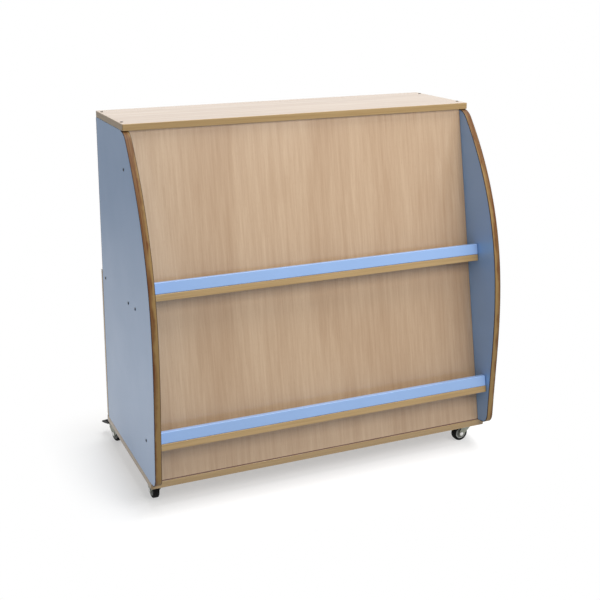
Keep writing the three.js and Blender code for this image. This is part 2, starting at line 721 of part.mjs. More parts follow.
const bookDisplay = new THREE.Group();
const sideMiddle = WIDTH / 2 - BOARD / 2;
bookDisplay.add(
  topBoard(),
  baseBoard(),
  ...sidePieces("left_side", -sideMiddle),
  ...sidePieces("right_side", sideMiddle),
  displayPanel(),
  ledgePieces("lower", LOWER_LEDGE_RISE),
  ledgePieces("upper", LOWER_LEDGE_RISE + LEDGE_PITCH),
  rearShelf(),
  ...[
    ["left_door", -1],
    ["right_door", 1],
  ].flatMap(([name, side]) => [
    ...doorPieces(name, side),
    ...pivotPieces(name, side),
    doorCatch(name, side),
  ]),
  ...CASTERS.flatMap(casterPieces),
);

// The origin lies on the floor under the middle of the whole piece.
const extent = new THREE.Box3().setFromObject(bookDisplay, true);
bookDisplay.position.x = -(extent.min.x + extent.max.x) / 2;
bookDisplay.position.y = -(extent.min.y + extent.max.y) / 2;

export default bookDisplay;
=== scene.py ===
"""Looks of a mobile picture book display: laminates, edge bands, screws, fittings and casters."""

import json
import math

import bmesh
import bpy
from bpy.props import FloatProperty, FloatVectorProperty, IntProperty, PointerProperty
from mathutils import Euler, Matrix, Vector


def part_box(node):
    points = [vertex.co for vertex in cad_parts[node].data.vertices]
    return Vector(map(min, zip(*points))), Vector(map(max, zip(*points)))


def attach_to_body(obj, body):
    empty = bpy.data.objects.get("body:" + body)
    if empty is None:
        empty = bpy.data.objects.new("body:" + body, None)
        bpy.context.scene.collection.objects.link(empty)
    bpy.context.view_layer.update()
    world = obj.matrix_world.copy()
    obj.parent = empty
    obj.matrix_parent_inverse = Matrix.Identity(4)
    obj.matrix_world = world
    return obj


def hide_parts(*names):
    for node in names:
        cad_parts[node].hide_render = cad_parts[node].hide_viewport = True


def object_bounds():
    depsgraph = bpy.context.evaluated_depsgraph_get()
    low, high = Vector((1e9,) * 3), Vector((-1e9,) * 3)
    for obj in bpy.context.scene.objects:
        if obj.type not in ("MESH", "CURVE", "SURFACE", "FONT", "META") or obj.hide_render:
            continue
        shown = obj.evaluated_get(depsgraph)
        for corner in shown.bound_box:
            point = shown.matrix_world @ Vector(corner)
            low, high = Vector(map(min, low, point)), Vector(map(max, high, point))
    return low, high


bl_info = {
    "name": "Picture Book Display",
    "version": (1, 0, 0),
    "blender": (4, 5, 0),
    "location": "View3D > Sidebar > Book Display",
    "description": "Dresses a packed model of a mobile picture book display",
    "category": "Object",
}

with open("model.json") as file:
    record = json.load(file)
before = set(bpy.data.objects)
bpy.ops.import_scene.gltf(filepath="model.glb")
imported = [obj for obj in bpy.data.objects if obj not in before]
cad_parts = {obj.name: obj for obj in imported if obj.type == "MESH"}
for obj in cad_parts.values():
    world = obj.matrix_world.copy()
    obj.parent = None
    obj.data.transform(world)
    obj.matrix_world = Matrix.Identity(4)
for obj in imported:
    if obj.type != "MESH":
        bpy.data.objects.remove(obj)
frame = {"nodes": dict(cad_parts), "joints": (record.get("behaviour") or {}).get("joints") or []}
CAD_LOW, CAD_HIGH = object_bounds()
NODES = frame["nodes"]
JOINTS = {joint["name"]: joint for joint in frame["joints"]}

PICTURE = 600  # pixels along each side of the picture
SENSOR = 0.036  # width of the camera's sensor
UP = Vector((0, 0, 1))
MM = 0.001
SEAT = 0.05 * MM  # between a fitting and the face that it sits on
WELD = 0.005 * MM  # corners closer than this are one
SLIVER = 0.02 * MM  # edges up to this long are closed after a cut
SHORT_EDGE = 0.2 * MM  # edges up to this long are closed before the rounding
FLAT = math.radians(0.4)  # faces that meet at less than this are one
SMOOTH = math.radians(35)  # gentler bends are shaded smooth
SMOOTH_TURNED = math.radians(40)  # the same for turned pieces
BEND_LEAST = math.radians(1.5)  # slightest and strongest bend of an outline that becomes an arc
BEND_MOST = math.radians(30)
BEND_SHARE = 40  # percent of the faces beside a bend that its arc takes

CORNERS = ("front_left", "rear_left", "front_right", "rear_right")
BRAKED = ("front_left", "rear_left")
SIDES = ("left", "right")
LEVEL_BOARDS = ("top_board", "base_board", "rear_shelf", "lower_ledge", "upper_ledge")
LIPS = ("lower_lip", "upper_lip")


def linear(code):
    """Turns a colour code such as 8DB0DE into the linear values that Blender works in."""
    parts = [int(code[i : i + 2], 16) / 255 for i in (0, 2, 4)]
    return tuple(c / 12.92 if c <= 0.04045 else ((c + 0.055) / 1.055) ** 2.4 for c in parts)


def colour(label, description, code):
    return FloatVectorProperty(
        name=label, description=description, subtype="COLOR", size=3, min=0, max=1, default=linear(code)
    )


def amount(label, description, value):
    return FloatProperty(name=label, description=description, min=0, default=value)


def length(label, description, value):
    return FloatProperty(
        name=label, description=description, subtype="DISTANCE", unit="LENGTH", min=0, default=value
    )


def angle(label, description, degrees):
    value = math.radians(degrees)
    return FloatProperty(
        name=label, description=description, subtype="ANGLE", unit="ROTATION", default=value
    )


def place(label, description, value):
    return FloatVectorProperty(
        name=label, description=description, subtype="TRANSLATION", unit="LENGTH", size=3, default=value
    )


class DisplayFinishes(bpy.types.PropertyGroup):
    """Colours of all materials, and the clear coats of the laminates."""

    beech: colour("Beech", "Light tone of the beech laminate", "C0A485")
    beech_grain: colour("Beech grain", "Dark tone of the beech laminate", "997652")
    edging: colour("Edging", "Edge band of the boards and doors", "AA8D5E")
    edging_grain: colour("Edging grain", "Dark tone of that edge band", "967849")
    side_edge: colour("Side edge", "Edges of the sides", "8F7448")
    side_edge_streak: colour("Side edge streak", "Dark streaks in those edges", "5A2F14")
    laminate_core: colour("Laminate core", "Dark line where a laminate ends", "3A2A20")
    blue: colour("Blue", "Laminate of the lips, and the knobs", "8FAEDB")
    side_blue: colour("Side blue", "Laminate of the sides", "82ACDE")
    zinc: colour("Zinc", "Plated steel of the casters", "8C8F84")
    steel: colour("Steel", "Pins and plates", "A3A29E")
    screw: colour("Screw", "Connecting screws", "5C5A55")
    # Painted shade: the inside of a screw's socket is near black, standing in for the shade in that recess.
    socket: colour("Socket", "Inside of a screw's socket", "24221F")
    hub: colour("Hub", "Moulded hubs and catches", "484B4B")
    black: colour("Black", "Brake pedals", "151515")
    rubber: colour("Rubber", "Tyres", "101010")
    board_coat: amount("Board coat", "Clear coat on the faces of the beech boards", 0.9)
    edge_coat: amount("Edge coat", "Clear coat on their edges", 0.5)
    lip_coat: amount("Lip coat", "Clear coat of the lips", 0.2)
    side_coat: amount("Side coat", "Clear coat of the sides", 0.55)


class DisplayFittings(bpy.types.PropertyGroup):
    """Sizes of screws, fittings, roundings and drawn lines."""

    screw_head: length("Screw head", "Radius of a connecting screw's head", 0.0036)
    screw_socket: length("Screw socket", "Radius of its six-sided socket", 0.0021)
    screw_stand: length("Screw stand", "Height of the head above the board", 0.0008)
    pan_head: length("Pan head", "Radius of a fixing screw's head", 0.0034)
    pan_rise: length("Pan rise", "Height of a fixing screw's head", 0.0016)
    plate_sheet: length("Plate sheet", "Thickness of a caster's top plate", 0.0025)
    plate_pitch: length("Plate pitch", "Between the screws of a caster's top plate", 0.031)
    ear: length("Ear", "Radius of a catch's fixing ear", 0.006)
    ear_sheet: length("Ear sheet", "Thickness of a catch's fixing ear", 0.003)
    pivot_leg: length("Pivot leg", "Width of the upper pivot plate on the shelf", 0.024)
    pivot_screw_near: length("Near pivot screw", "From the inner end of that plate", 0.008)
    pivot_screw_far: length("Far pivot screw", "From the inner end of that plate", 0.026)
    # Painted shade: a dark strip at the panel's foot stands in for the shadow gap where the panel meets the
    # base.
    foot_shadow_line: length("Foot line", "Dark line at the foot of the panel", 0.0024)
    edge_line: length("Edge line", "Dark line along each face of the sides' edges", 0.0013)
    grip_rise: length("Grip rise", "Height of a bar on a brake pedal", 0.0007)
    grip_length: length("Grip length", "Length of such a bar", 0.020)
    grip_width: length("Grip width", "Width of such a bar", 0.0017)
    grip_pitch: length("Grip pitch", "From one bar to the next", 0.0045)
    grip_bars: IntProperty(name="Grip bars", description="Bars on a pedal", min=1, default=5)
    top_screw_rear: length("Rear top screw", "From the rear edge of the top", 0.030)
    top_screw_front: length("Front top screw", "From the rear edge of the top", 0.215)
    shelf_screw_rear: length("Rear shelf screw", "From the rear edge of a side", 0.0315)
    shelf_screw_front: length("Front shelf screw", "From the rear edge of a side", 0.246)
    panel_screw_foot: length("Lowest panel screw", "Above the underside of the base", 0.111)
    panel_screw_middle: length("Middle panel screw", "Above the underside of the base", 0.410)
    panel_screw_head: length("Highest panel screw", "Above the underside of the base", 0.721)
    soft_edge: length("Soft edge", "Rounding of the boards' edges", 0.0006)
    pressed_edge: length("Pressed edge", "Rounding of pressed steel edges", 0.0004)
    pin_edge: length("Pin edge", "Rounding of the brake pins' edges", 0.0002)
    moulded_edge: length("Moulded edge", "Rounding of moulded plastic edges", 0.0006)
    round_steps: IntProperty(
        name="Round steps", description="Faces round a turned piece", min=24, default=64
    )


class DisplayStage(bpy.types.PropertyGroup):
    """Camera, lights and floor."""

    camera_place: place("Camera", "From the rear edge's middle, under the base", (-1.0205, -2.4398, 1.1569))
    yaw: angle("Yaw", "Camera turned to the right", 21.93)
    pitch: angle("Pitch", "Camera turned down", 13.96)
    roll: angle("Roll", "Camera rolled to the left", -0.36)
    focal: amount("Focal length", "In pixels of the picture", 1018.5)
    axis_x: amount("Axis across", "Camera axis in the picture, pixels", 252.9)
    axis_y: amount("Axis down", "Camera axis in the picture, pixels", 222.0)
    floor_colour: colour("Floor", "Pale floor", "FAFAFA")
    floor_bounce: colour("Floor bounce", "Floor as the object sees it", "A0A0A0")
    floor_size: length("Floor size", "Side of the floor", 60.0)
    floor_near: length("Near floor", "From the object, how far the floor keeps its shadow", 0.0)
    floor_far: length("Far floor", "From the object, beyond which the floor is white", 0.17)
    floor_lift: amount("Floor lift", "Least share of plain white", 0.45)
    mirror_far: length("Mirrored floor", "From the object, where its mirror image is dimmest", 3.0)
    mirror_dim: amount("Mirrored floor's strength", "Of the mirror image where it is dimmest", 0.5)
    sky: amount("Sky", "Strength of the light from all round", 0.33)
    sun: amount("Sun", "Strength of the main light", 2.2)
    sun_turn: angle("Sun turn", "Main light to the right of the front", 60)
    sun_rise: angle("Sun rise", "Main light above the horizon", 76)
    sun_spread: angle("Sun spread", "Softness of the main light", 40)
    lamp: amount("Lamp", "Power of the near lamp, watts", 19)
    lamp_size: length("Lamp size", "Side of the near lamp", 0.8)
    lamp_place: place("Lamp place", "From the middle of the floor", (0.42, -1.48, 1.42))
    fill: amount("Fill", "Power of the rear lamp, watts", 14)
    fill_size: length("Fill size", "Side of the rear lamp", 1.2)
    fill_place: place("Fill place", "From the middle of the floor", (0.4, 1.9, 1.2))


# Shader wiring


def fresh_material(name):
    """A new material with an empty principled surface."""
    material = bpy.data.materials.new(name)
    material.use_nodes = True
    tree = material.node_tree
    return material, tree, tree.nodes["Principled BSDF"]


def feed(tree, socket, value):
    """Links a socket to another one, or sets its value; a colour has three numbers."""
    if isinstance(value, bpy.types.NodeSocket):
        tree.links.new(value, socket)
    elif socket.type == "RGBA":
        socket.default_value = (*value, 1)
    else:
        socket.default_value = value


def add_node(tree, kind, inputs=None, **settings):
    """A new node with its settings, whose inputs are linked or set."""
    made = tree.nodes.new(kind)
    for name, value in settings.items():
        setattr(made, name, value)
    for socket, value in (inputs or {}).items():
        feed(tree, made.inputs[socket], value)
    return made


def object_place(tree, scale=(1, 1, 1), turn=(0, 0, 0), centre=(0, 0, 0)):
    """Object coordinates from a centre, turned, then stretched."""
    vector = add_node(tree, "ShaderNodeTexCoord").outputs["Object"]
    back = [-c for c in centre]
    for setting, value in (("Location", back), ("Rotation", turn), ("Scale", scale)):
        step = add_node(tree, "ShaderNodeMapping", {"Vector": vector, setting: value})
        vector = step.outputs["Vector"]
    return vector


def noise(tree, scale, detail=4.0, rough=0.55, distortion=0.0, turn=(0, 0, 0)):
    """Cloudy values round 0.5 on turned and stretched object coordinates."""
    inputs = {
        "Vector": object_place(tree, scale, turn),
        "Scale": 1.0,
        "Detail": detail,
        "Roughness": rough,
        "Distortion": distortion,
    }
    return add_node(tree, "ShaderNodeTexNoise", inputs).outputs["Fac"]


def ranged(tree, value, low, high, start=0.0, end=1.0):
    """Carries values from one range to another, and stops at its ends."""
    ranges = {"From Min": low, "From Max": high, "To Min": start, "To Max": end}
    return add_node(tree, "ShaderNodeMapRange", {"Value": value, **ranges}).outputs["Result"]


def maths(tree, operation, first, second=0.0):
    inputs = {0: first, 1: second}
    return add_node(tree, "ShaderNodeMath", inputs, operation=operation).outputs[0]


def mixed(tree, factor, first, second):
    """Blends two colours."""
    inputs = {0: factor, 6: first, 7: second}
    return add_node(tree, "ShaderNodeMix", inputs, data_type="RGBA").outputs[2]


def chosen(tree, factor, first, second):
    """Blends two shaders."""
    inputs = {0: factor, 1: first.outputs[0], 2: second.outputs[0]}
    return add_node(tree, "ShaderNodeMixShader", inputs).outputs[0]


def cover(tree, surface, tones, rough, relief, depth):
    """Gives a surface its colour, its roughness and a fine relief of a given depth."""
    feed(tree, surface.inputs["Base Color"], tones)
    feed(tree, surface.inputs["Roughness"], rough)
    bump = add_node(tree, "ShaderNodeBump", {"Height": relief, "Distance": depth})
    feed(tree, surface.inputs["Normal"], bump.outputs["Normal"])


def split(tree, vector):
    """The three numbers of a vector."""
    return add_node(tree, "ShaderNodeSeparateXYZ", {0: vector}).outputs


def facing(tree, axis, least):
    """1 where a face looks along the axis, either way, and 0 elsewhere."""
    normal = add_node(tree, "ShaderNodeTexCoord").outputs["Normal"]
    along = maths(tree, "ABSOLUTE", split(tree, normal)[axis])
    return maths(tree, "GREATER_THAN", along, least)


def seen_rays(tree):
    """1 for rays from the camera, in mirrors and through glass."""
    path = add_node(tree, "ShaderNodeLightPath").outputs
    mirrored = maths(tree, "MAXIMUM", path["Is Glossy Ray"], path["Is Transmission Ray"])
    return maths(tree, "MAXIMUM", path["Is Camera Ray"], mirrored)


# Finishes


def stretch(along, across, lengthwise):
    """Scale of a grain that runs along one axis."""
    return [lengthwise if axis == along else across for axis in "XYZ"]


def beech_tones(tree, along, turn=(0, 0, 0)):
    """Colour, roughness and relief of beech laminate whose grain runs along an axis."""
    looks = bpy.context.scene.display_finishes
    broad = noise(tree, stretch(along, 7, 1.3), 2.0, 0.5, 0.9, turn)
    streaks = noise(tree, stretch(along, 85, 4.0), 4.0, 0.55, 0.4, turn)
    lines = noise(tree, stretch(along, 420, 14.0), 3.0, 0.5, turn=turn)
    flecks = noise(tree, stretch(along, 900, 75), 1.0, 0.4, turn=turn)
    tone = maths(
        tree,
        "ADD",
        ranged(tree, broad, 0.36, 0.64, 0.0, 0.30),
        ranged(tree, streaks, 0.36, 0.64, 0.0, 0.26),
    )
    tone = maths(tree, "ADD", tone, ranged(tree, lines, 0.38, 0.62, 0.0, 0.14))
    wood = mixed(tree, tone, looks.beech, looks.beech_grain)
    speckled = mixed(tree, ranged(tree, flecks, 0.60, 0.72, 0.0, 0.22), wood, looks.beech_grain)
    rough = ranged(tree, streaks, 0.3, 0.7, 0.36, 0.44)
    relief = maths(tree, "ADD", streaks, ranged(tree, flecks, 0.5, 0.7, 0.0, -0.5))
    return speckled, rough, relief


def streaked_edging(tree, along):
    looks = bpy.context.scene.display_finishes
    streaks = noise(tree, stretch(along, 260, 5.0), 4.0, 0.6)
    share = ranged(tree, streaks, 0.35, 0.65, 0.0, 0.8)
    return mixed(tree, share, looks.edging, looks.edging_grain)


def edging_tones(tree, along, across):
    """Colour of a board's edge band, whose grain follows the edge."""
    ends = facing(tree, along, 0.5)
    return mixed(tree, ends, streaked_edging(tree, along), streaked_edging(tree, across))


def satin(surface):
    """The thin clear skin of a laminate."""
    surface.inputs["Coat Roughness"].default_value = 0.22
    surface.inputs["Coat IOR"].default_value = 1.7


def board_material(name, along, across, face_axis, turn=(0, 0, 0), foot=None):
    """Beech laminate on the faces, beech edge band on the edges, and at a foot a dark line of painted
    shadow where the panel stands on the base.
    """
    looks = bpy.context.scene.display_finishes
    material, tree, surface = fresh_material(name)
    face, rough, relief = beech_tones(tree, along, turn)
    face_share = facing(tree, face_axis, 0.8)
    tones = mixed(tree, face_share, edging_tones(tree, along, across), face)
    # Painted shadow: the lowest strip above the foot is darkened like the shadow gap where the panel meets
    # the base.
    if foot is not None:
        height = split(tree, object_place(tree, centre=(0, 0, foot)))["Z"]
        line = maths(tree, "LESS_THAN", height, bpy.context.scene.display_fittings.foot_shadow_line)
        tones = mixed(tree, line, tones, looks.side_edge_streak)
    cover(tree, surface, tones, rough, relief, 0.04 * MM)
    satin(surface)
    coat = ranged(tree, face_share, 0, 1, looks.edge_coat, looks.board_coat)
    feed(tree, surface.inputs["Coat Weight"], coat)
    return material


def blue_material(name, tone, coat):
    """Satin blue laminate with a fine pebbled face under a clear coat."""
    material, tree, surface = fresh_material(name)
    cloud = noise(tree, (6, 6, 6), 3.0)
    pebble = noise(tree, (900, 900, 900), 2.0)
    darker = [c * 0.96 for c in tone]
    tones = mixed(tree, ranged(tree, cloud, 0.35, 0.65), tone, darker)
    rough = ranged(tree, cloud, 0.3, 0.7, 0.36, 0.44)
    cover(tree, surface, tones, rough, pebble, 0.03 * MM)
    satin(surface)
    surface.inputs["Coat Weight"].default_value = coat
    return material


def side_edge_material(plane, foot, head, line):
    """Wood streaked darker outwards and upwards, between the dark ends of two laminates.

    plane is where the two sides mirror each other, foot and head are corners of the right one.
    """
    looks = bpy.context.scene.display_finishes
    material, tree, surface = fresh_material("side_edge")
    inner = foot.x - plane
    outer = head.x - plane
    streaks = noise(tree, (330, 9, 9), 5.0, 0.65, 0.3)
    waves = noise(tree, (20, 16, 16), 3.0, 0.6)
    spot = split(tree, object_place(tree, centre=(plane, 0, 0)))
    out = ranged(tree, maths(tree, "ABSOLUTE", spot["X"]), inner, outer)
    up = ranged(tree, spot["Z"], foot.z, head.z, -0.15, 0.5)
    wavy = maths(tree, "ADD", out, ranged(tree, waves, 0.25, 0.75, -0.35, 0.35))
    wavy = maths(tree, "ADD", wavy, up)
    dark = maths(
        tree,
        "MULTIPLY",
        ranged(tree, streaks, 0.38, 0.62, 0.5, 1.0),
        ranged(tree, wavy, 0.5, 0.85, 0.08, 1.0),
    )
    wood = mixed(tree, dark, looks.side_edge, looks.side_edge_streak)
    share = line / (outer - inner)
    near_outer = maths(tree, "GREATER_THAN", out, 1 - share)
    near_inner = maths(tree, "LESS_THAN", out, share)
    border = maths(tree, "MAXIMUM", near_outer, near_inner)
    tones = mixed(tree, border, wood, looks.laminate_core)
    rough = ranged(tree, streaks, 0.3, 0.7, 0.45, 0.6)
    cover(tree, surface, tones, rough, streaks, 0.08 * MM)
    surface.inputs["Specular IOR Level"].default_value = 0.3
    return material


def metal_material(name, tone, scale, low, high):
    """Plated steel with a slightly cloudy, finely brushed skin."""
    material, tree, surface = fresh_material(name)
    cloud = noise(tree, [scale] * 3, 4.0)
    grain = noise(tree, (2500, 2500, 300), 2.0)
    duller = [c * 0.78 for c in tone]
    tones = mixed(tree, ranged(tree, cloud, 0.3, 0.7), tone, duller)
    cover(tree, surface, tones, ranged(tree, cloud, 0.3, 0.7, low, high), grain, 0.03 * MM)
    surface.inputs["Metallic"].default_value = 1.0
    return material


def plastic_material(name, tone, low, high, grain_size, depth, gloss=0.5):
    """Moulded plastic or rubber with a fine grain and faint handling marks."""
    material, tree, surface = fresh_material(name)
    wear = noise(tree, (70, 70, 70), 4.0, 0.6)
    grain = noise(tree, [grain_size] * 3, 2.0)
    worn = [min(1.0, c * 1.5 + 0.01) for c in tone]
    tones = mixed(tree, ranged(tree, wear, 0.5, 0.75), tone, worn)
    cover(tree, surface, tones, ranged(tree, wear, 0.3, 0.7, low, high), grain, depth)
    surface.inputs["Specular IOR Level"].default_value = gloss
    return material


# Hand modelling


def make_active(piece):
    bpy.ops.object.select_all(action="DESELECT")
    piece.select_set(True)
    bpy.context.view_layer.objects.active = piece


def start_edit(piece):
    make_active(piece)
    bpy.ops.object.mode_set(mode="EDIT")
    bpy.ops.mesh.select_mode(type="VERT")
    bpy.ops.mesh.select_all(action="SELECT")


def end_edit():
    bpy.ops.object.mode_set(mode="OBJECT")


def extrude(step):
    bpy.ops.mesh.extrude_region_move(TRANSFORM_OT_translate={"value": step})


def pick(piece, kind, wanted):
    """Selects, in edit mode, the edges or the faces for which the test holds."""
    bpy.ops.mesh.select_mode(type=kind)
    bpy.ops.mesh.select_all(action="DESELECT")
    shape = bmesh.from_edit_mesh(piece.data)
    for element in shape.edges if kind == "EDGE" else shape.faces:
        element.select_set(wanted(element))
    bmesh.update_edit_mesh(piece.data)


def soften(piece, width, segments=2, least=SMOOTH):
    """Rounds the sharp edges and shades the rest smooth."""
    make_active(piece)
    rounding = piece.modifiers.new("rounding", "BEVEL")
    rounding.width = width
    rounding.segments = segments
    rounding.limit_method = "ANGLE"
    rounding.angle_limit = least
    bpy.ops.object.modifier_apply(modifier=rounding.name)
    shade(piece)


def shade(piece, smooth=SMOOTH):
    """Smooth over gentle bends, while the large faces stay flat."""
    make_active(piece)
    bpy.ops.object.shade_smooth_by_angle(angle=smooth)
    weighting = piece.modifiers.new("weighting", "WEIGHTED_NORMAL")
    weighting.keep_sharp = True
    bpy.ops.object.modifier_apply(modifier=weighting.name)


def merged_copy(node, name):
    """A copy of a construction piece with its loose triangles joined into plain faces."""
    piece = bpy.data.objects.new(name, NODES[node].data.copy())
    bpy.context.scene.collection.objects.link(piece)
    piece.data.name = name
    start_edit(piece)
    bpy.ops.mesh.customdata_custom_splitnormals_clear()
    bpy.ops.mesh.remove_doubles(threshold=WELD)
    bpy.ops.mesh.dissolve_limited(angle_limit=FLAT)
    end_edit()
    return piece


def spun(name, profile, steps):
    """Draws a profile of (radius, height) points by extruding a vertex, then spins it about Z."""
    bpy.ops.mesh.primitive_plane_add(size=MM, location=(0, 0, 0))
    piece = bpy.context.active_object
    piece.name = name
    piece.data.name = name
    start_edit(piece)
    bpy.ops.mesh.merge(type="CENTER")
    here = Vector((0, 0, 0))
    for index, (radius, height) in enumerate(profile):
        step = Vector((radius, 0, height)) - here
        if index:
            extrude(step)
        else:
            bpy.ops.transform.translate(value=step)
        here += step
    bpy.ops.mesh.select_all(action="SELECT")
    bpy.ops.mesh.spin(steps=steps, angle=2 * math.pi, center=(0, 0, 0), axis=UP)
    bpy.ops.mesh.select_all(action="SELECT")
    bpy.ops.mesh.remove_doubles(threshold=WELD)
    bpy.ops.mesh.normals_make_consistent(inside=False)
    end_edit()
    return piece


def copied(model, name):
    piece = model.copy()
    piece.data = model.data.copy()
    piece.name = name
    piece.data.name = name
    bpy.context.scene.collection.objects.link(piece)
    return piece


def settle(piece, place):
    """Moves a piece to its place and writes that place into its mesh."""
    piece.matrix_world = place
    make_active(piece)
    bpy.ops.object.transform_apply(location=True, rotation=True, scale=True)


def discard(model):
    bpy.data.objects.remove(model)


def dress(piece, material):
    piece.data.materials.clear()
    piece.data.materials.append(material)


def attach(piece, body):
    """Gives a finished piece its body."""
    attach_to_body(piece, body)


def hand_over(piece, material, body, node):
    """Puts a finished piece in the place of a construction piece."""
    dress(piece, material)
    attach(piece, body)
    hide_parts(node)


def finish_copy(piece, node, width, material, body):
    """Rounds the edges of a construction piece's copy and puts it in that piece's place."""
    start_edit(piece)
    bpy.ops.mesh.dissolve_degenerate(threshold=SHORT_EDGE)
    end_edit()
    soften(piece, width)
    hand_over(piece, material, body, node)


def finished_copy(node, name, width, material, body):
    """Puts a copy with rounded edges in the place of a construction piece."""
    piece = merged_copy(node, name)
    finish_copy(piece, node, width, material, body)
    return piece


# Places worked out from the frame


def low(node):
    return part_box(node)[0]


def high(node):
    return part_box(node)[1]


def middle(node):
    return (low(node) + high(node)) / 2


def half_size(node):
    return (high(node) - low(node)) / 2


def thickness():
    return high("top_board").z - low("top_board").z


def mirror_plane():
    return middle("top_board").x


def panel_lean():
    """Angle by which the panel leans back, from its box and the board's thickness."""
    rise = high("display_panel").z - low("display_panel").z
    run = high("display_panel").y - low("display_panel").y
    slope = math.hypot(rise, run)
    return math.atan2(run, rise) - math.asin(thickness() / slope)


def panel_core(height):
    """Y of the panel's middle at a height."""
    bottom = low("display_panel")
    half = thickness() / math.cos(panel_lean()) / 2
    return bottom.y + half + (height - bottom.z) * math.tan(panel_lean())


def upright(axis, place):
    """Place of a piece spun about Z whose axis is turned to a direction."""
    axis = Vector(axis).normalized()
    first = UP if abs(axis.dot(UP)) < 0.9 else Vector((1, 0, 0))
    second = axis.cross(first)
    turn = Matrix((first, second, axis)).transposed()
    return Matrix.Translation(place) @ turn.to_4x4()


def wheel_place(corner):
    joint = JOINTS[f"{corner}_wheel_roll"]
    return upright(joint["axis"], Vector(joint["pos_m"]))


class DisplayOperator:
    """What the building steps share."""

    bl_options = {"REGISTER"}

    @property
    def finishes(self):
        return bpy.context.scene.display_finishes

    @property
    def fittings(self):
        return bpy.context.scene.display_fittings

    def set_screws(self, model, name):
        """Sets a copy of a screw's head at each of its places, then removes the model."""
        for number, (axis, place) in enumerate(self.places(), 1):
            screw = copied(model, f"{name}_{number:02d}")
            settle(screw, upright(axis, place))
            attach(screw, "carcass")
        discard(model)


class STAGE_OT_build(DisplayOperator, bpy.types.Operator):
    """Sets the camera, the soft light and the pale floor"""

    bl_idname = "book_display.stage"
    bl_label = "Stage"

    def execute(self, context):
        stage = context.scene.display_stage
        self.make_camera(context.scene, stage)
        self.make_world(context.scene, stage)
        self.make_sun(stage)
        self.make_lamp(stage.lamp, stage.lamp_size, stage.lamp_place)
        self.make_lamp(stage.fill, stage.fill_size, stage.fill_place)
        self.make_floor(stage)
        context.scene.view_settings.view_transform = "Standard"
        return {"FINISHED"}

    def make_camera(self, scene, stage):
        anchor = Vector((mirror_plane(), high("left_side_rear_band").y, low("base_board").z))
        turn = Euler((math.pi / 2 - stage.pitch, 0, -stage.yaw)).to_matrix()
        turn = turn @ Matrix.Rotation(stage.roll, 3, "Z")
        spot = anchor + Vector(stage.camera_place)
        bpy.ops.object.camera_add(location=spot, rotation=turn.to_euler())
        camera = bpy.context.active_object
        camera.data.sensor_width = SENSOR / MM
        camera.data.lens = stage.focal / PICTURE * SENSOR / MM
        camera.data.shift_x = 0.5 - stage.axis_x / PICTURE
        camera.data.shift_y = stage.axis_y / PICTURE - 0.5
        scene.camera = camera

    def make_world(self, scene, stage):
        world = bpy.data.worlds.new("soft_studio")
        world.use_nodes = True
        tree = world.node_tree
        tree.nodes.clear()
        white = (1, 1, 1)
        light = add_node(tree, "ShaderNodeBackground", {"Color": white, "Strength": stage.sky})
        seen = add_node(tree, "ShaderNodeBackground", {"Color": white})
        output = add_node(tree, "ShaderNodeOutputWorld")
        feed(tree, output.inputs["Surface"], chosen(tree, seen_rays(tree), light, seen))
        scene.world = world

    def make_sun(self, stage):
        turn = (math.pi / 2 - stage.sun_rise, 0, stage.sun_turn)
        bpy.ops.object.light_add(type="SUN", rotation=turn)
        sun = bpy.context.active_object
        sun.data.energy = stage.sun
        sun.data.angle = stage.sun_spread

    def make_lamp(self, power, size, place):
        """A square lamp that looks at the middle of the object and has no mirror image."""
        aim = (CAD_LOW + CAD_HIGH) / 2 - Vector(place)
        turn = aim.to_track_quat("-Z", "Y").to_euler()
        bpy.ops.object.light_add(type="AREA", location=place, rotation=turn)
        lamp = bpy.context.active_object
        lamp.data.energy = power
        lamp.data.size = size
        lamp.visible_glossy = False
        lamp.visible_camera = False

    def make_floor(self, stage):
        bpy.ops.mesh.primitive_plane_add(size=stage.floor_size, location=(0, 0, 0))
        floor = bpy.context.active_object
        floor.name = "floor"
        material, tree, surface = fresh_material("pale_floor")
        bare = mixed(tree, seen_rays(tree), stage.floor_bounce, stage.floor_colour)
        feed(tree, surface.inputs["Base Color"], bare)
        surface.inputs["Roughness"].default_value = 0.9
        surface.inputs["Specular IOR Level"].default_value = 0.0
        distance = self.distance(tree)
        mirrored = ranged(tree, distance, stage.floor_far, stage.mirror_far, 1.0, stage.mirror_dim)
        direct = add_node(tree, "ShaderNodeLightPath").outputs["Is Camera Ray"]
        strength = maths(tree, "MAXIMUM", direct, mirrored)
        glow = add_node(tree, "ShaderNodeEmission", {"Strength": strength})
        fade = ranged(tree, distance, stage.floor_near, stage.floor_far, stage.floor_lift)
        share = maths(tree, "MULTIPLY", fade, seen_rays(tree))
        output = tree.nodes["Material Output"]
        feed(tree, output.inputs["Surface"], chosen(tree, share, surface, glow))
        dress(floor, material)

    def distance(self, tree):
        """How far a point of the floor is from the rectangle under the object."""
        outside = object_place(tree, centre=((CAD_LOW + CAD_HIGH) / 2).xy.to_3d())
        half = ((CAD_HIGH - CAD_LOW) / 2).xy.to_3d()
        for operation, other in (("ABSOLUTE", half), ("SUBTRACT", half), ("MAXIMUM", (0, 0, 0))):
            inputs = {0: outside, 1: other}
            step = add_node(tree, "ShaderNodeVectorMath", inputs, operation=operation)
            outside = step.outputs["Vector"]
        reach = add_node(tree, "ShaderNodeVectorMath", {0: outside}, operation="LENGTH")
        return reach.outputs["Value"]


